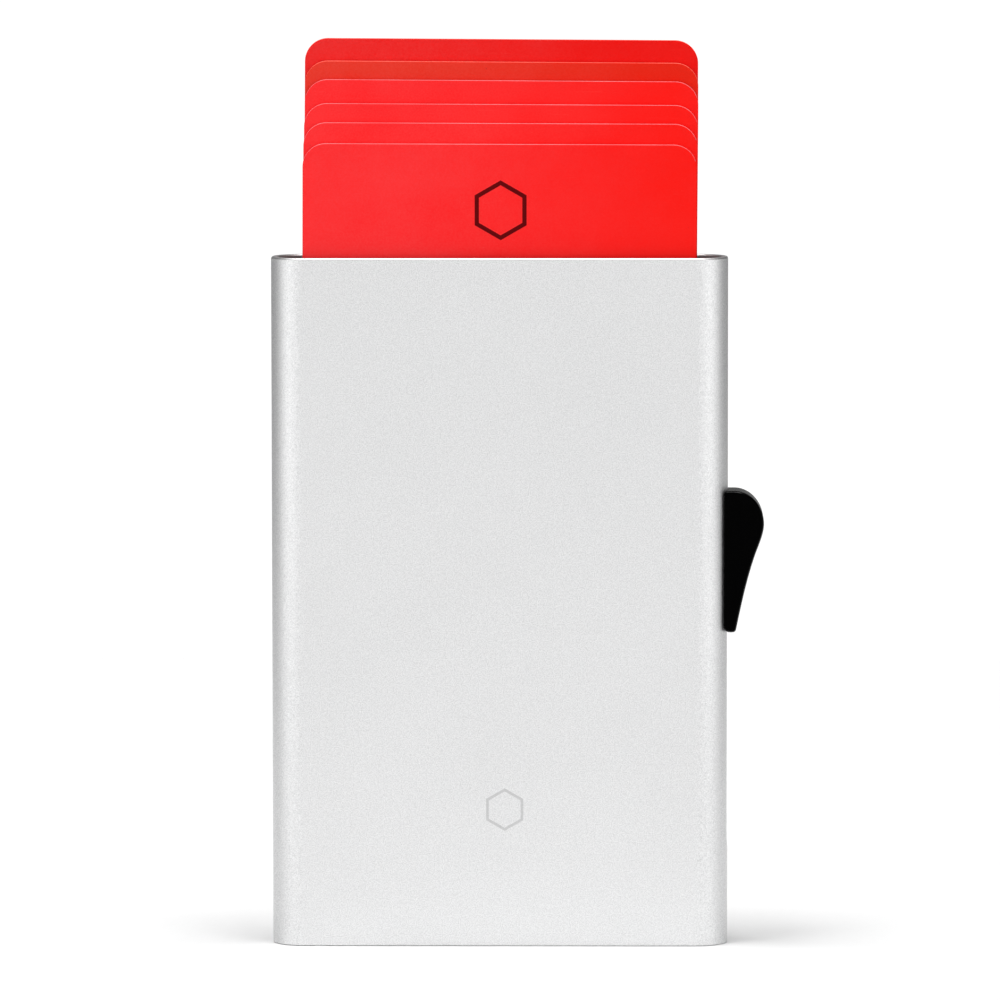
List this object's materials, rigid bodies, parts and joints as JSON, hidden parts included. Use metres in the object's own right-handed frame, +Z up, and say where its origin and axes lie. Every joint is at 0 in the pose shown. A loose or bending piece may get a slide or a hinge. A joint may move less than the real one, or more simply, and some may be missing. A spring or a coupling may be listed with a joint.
{
  "type": "minimalist card wallet",
  "caption": "Rounded aluminium sleeve wallet with a sliding thumb grip on its side that fans stepped plastic cards out of the mouth.",
  "frame": {"origin": "centre of the flat underside, on the face of the base plug", "axes": "+Z up through the card mouth, -Y out of the front face, +X towards the thumb grip"},
  "size_m": [0.0676, 0.01, 0.1247],
  "materials": {
    "anodised_shell": "bead-blasted clear anodised, fine grain",
    "grip_plastic": "moulded, satin black",
    "inner_plastic": "moulded, matte black",
    "lever_plastic": "moulded, glass-filled",
    "steel": "stamped and turned stainless",
    "felt": "short felt pile",
    "card_plastic": "satin printed card, white core at the edges",
    "card_plastic_orange": "satin printed card, white core at the edges"
  },
  "bodies": {
    "case": {"case_sleeve": "anodised_shell", "base_plug": "inner_plastic", "left_rail": "inner_plastic", "right_rail": "inner_plastic", "back_liner": "inner_plastic", "pivot_pin": "steel", "front_felt_left": "felt", "front_felt_right": "felt", "back_felt_left": "felt", "back_felt_right": "felt"},
    "slider": {"slider_carriage": "inner_plastic", "yoke_plate": "steel", "yoke_rivet_1": "steel", "yoke_rivet_2": "steel", "thumb_grip": "grip_plastic", "grip_screw_1": "steel", "grip_screw_2": "steel", "friction_leaf": "steel"},
    "lever": {"stair_lever": "lever_plastic", "drive_pin": "steel"},
    "card_1": {"card_1": "card_plastic"},
    "card_2": {"card_2": "card_plastic"},
    "card_3": {"card_3": "card_plastic"},
    "card_4": {"card_4": "card_plastic"},
    "card_5": {"card_5": "card_plastic_orange"},
    "card_6": {"card_6": "card_plastic"}
  },
  "joints": [
    {"name": "thumb_slide", "type": "slide", "parent": "case", "child": "slider", "axis": [0, 0, 1], "range_m": [-0.034, 0]},
    {"name": "lever_swing", "type": "hinge", "parent": "case", "child": "lever", "pos_m": [-0.0279, 0, 0.0075], "axis": [0, -1, 0], "range_deg": [-40.1, 0]},
    {"name": "card_1_lift", "type": "slide", "parent": "case", "child": "card_1", "axis": [0, 0, 1], "range_m": [-0.01702, 0]},
    {"name": "card_2_lift", "type": "slide", "parent": "case", "child": "card_2", "axis": [0, 0, 1], "range_m": [-0.01986, 0]},
    {"name": "card_3_lift", "type": "slide", "parent": "case", "child": "card_3", "axis": [0, 0, 1], "range_m": [-0.0227, 0]},
    {"name": "card_4_lift", "type": "slide", "parent": "case", "child": "card_4", "axis": [0, 0, 1], "range_m": [-0.02554, 0]},
    {"name": "card_5_lift", "type": "slide", "parent": "case", "child": "card_5", "axis": [0, 0, 1], "range_m": [-0.02838, 0]},
    {"name": "card_6_lift", "type": "slide", "parent": "case", "child": "card_6", "axis": [0, 0, 1], "range_m": [-0.03122, 0]}
  ],
  "couplings": [
    {"joint": "lever_swing", "follows": "thumb_slide", "rad_per_m": 20.533},
    {"joint": "card_1_lift", "follows": "thumb_slide", "ratio": 0.5},
    {"joint": "card_2_lift", "follows": "thumb_slide", "ratio": 0.58353},
    {"joint": "card_3_lift", "follows": "thumb_slide", "ratio": 0.66706},
    {"joint": "card_4_lift", "follows": "thumb_slide", "ratio": 0.75059},
    {"joint": "card_5_lift", "follows": "thumb_slide", "ratio": 0.83412},
    {"joint": "card_6_lift", "follows": "thumb_slide", "ratio": 0.91765}
  ]
}
